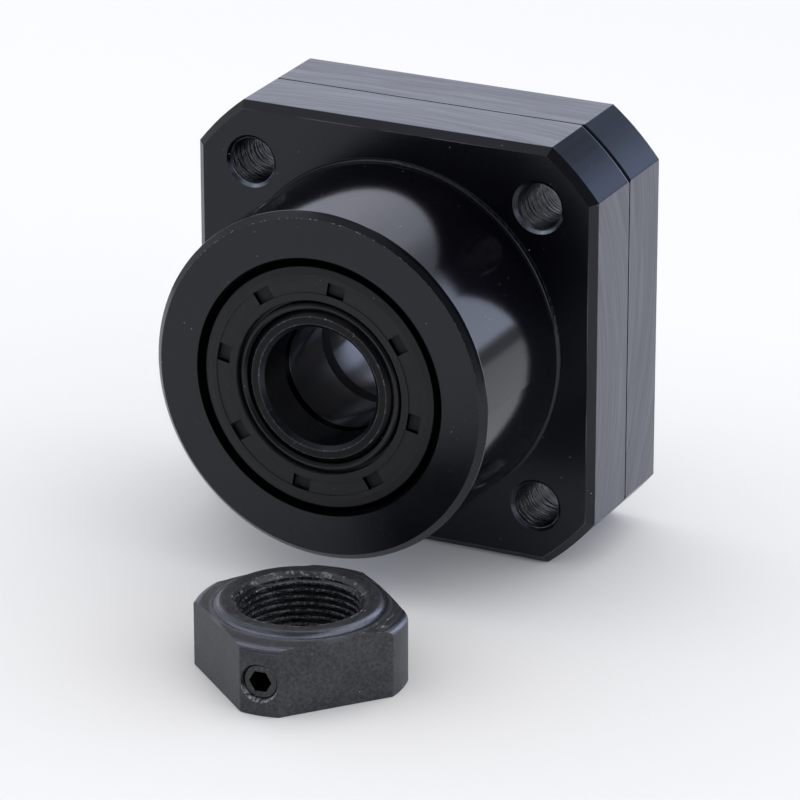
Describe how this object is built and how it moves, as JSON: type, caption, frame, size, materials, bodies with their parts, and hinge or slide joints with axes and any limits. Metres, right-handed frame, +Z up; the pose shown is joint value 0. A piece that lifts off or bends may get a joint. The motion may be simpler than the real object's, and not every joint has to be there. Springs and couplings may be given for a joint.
{
  "type": "ball screw end support",
  "caption": "Square flange support unit with round spigot, paired angular contact bearings, oil seals and collars; its lock nut with set screw stands beside it.",
  "frame": {"origin": "where the shaft axis crosses the mounting face of the flange", "axes": "+Z up with the unit standing on its lower flat side, the spigot points to -Y, +X to the right seen from the spigot's end"},
  "size_m": [0.061, 0.0861, 0.061],
  "materials": {
    "black_oxide_steel": "black oxide, ground and milled, satin",
    "collar_steel": "black oxide, ground",
    "bearing_steel": "ground bearing steel",
    "ball_steel": "polished bearing steel",
    "cage_polyamide": "moulded polyamide",
    "seal_rubber": "moulded nitrile rubber, matte",
    "spring_steel": "bright spring wire",
    "screw_steel": "black oxide",
    "nut_steel": "black oxide, speckled matte",
    "set_piece_brass": "turned brass"
  },
  "bodies": {
    "housing": {"housing": "black_oxide_steel", "cover_plate": "black_oxide_steel", "cover_screws": "screw_steel", "front_seal": "seal_rubber", "front_seal_spring": "spring_steel", "rear_seal": "seal_rubber", "rear_seal_spring": "spring_steel", "front_bearing_outer_ring": "bearing_steel", "rear_bearing_outer_ring": "bearing_steel", "lock_nut": "nut_steel"},
    "rotor": {"front_collar": "collar_steel", "rear_collar": "collar_steel", "front_bearing_inner_ring": "bearing_steel", "rear_bearing_inner_ring": "bearing_steel"},
    "front_ball_train": {"front_bearing_cage": "cage_polyamide", "front_bearing_balls": "ball_steel"},
    "rear_ball_train": {"rear_bearing_cage": "cage_polyamide", "rear_bearing_balls": "ball_steel"},
    "set_piece": {"set_piece": "set_piece_brass"},
    "set_screw": {"set_screw": "screw_steel"}
  },
  "joints": [
    {"name": "rotor_spin", "type": "hinge", "parent": "housing", "child": "rotor", "pos_m": [0, 0, 0], "axis": [0, 1, 0], "continuous": true},
    {"name": "front_cage_spin", "type": "hinge", "parent": "housing", "child": "front_ball_train", "pos_m": [0, -0.01, 0], "axis": [0, 1, 0], "continuous": true},
    {"name": "rear_cage_spin", "type": "hinge", "parent": "housing", "child": "rear_ball_train", "pos_m": [0, 0.002, 0], "axis": [0, 1, 0], "continuous": true},
    {"name": "set_piece_travel", "type": "slide", "parent": "housing", "child": "set_piece", "axis": [-0.0819, 0.9966, 0], "range_m": [-0.0008, 0.0004]},
    {"name": "set_screw_turn", "type": "hinge", "parent": "set_piece", "child": "set_screw", "pos_m": [0.0093, -0.0468, -0.0259], "axis": [-0.0819, 0.9966, 0], "range_deg": [-360, 180]}
  ],
  "couplings": [
    {"joint": "front_cage_spin", "follows": "rotor_spin", "ratio": 0.39744},
    {"joint": "rear_cage_spin", "follows": "rotor_spin", "ratio": 0.39744},
    {"joint": "set_screw_turn", "follows": "set_piece_travel", "rad_per_m": 7853.9}
  ]
}
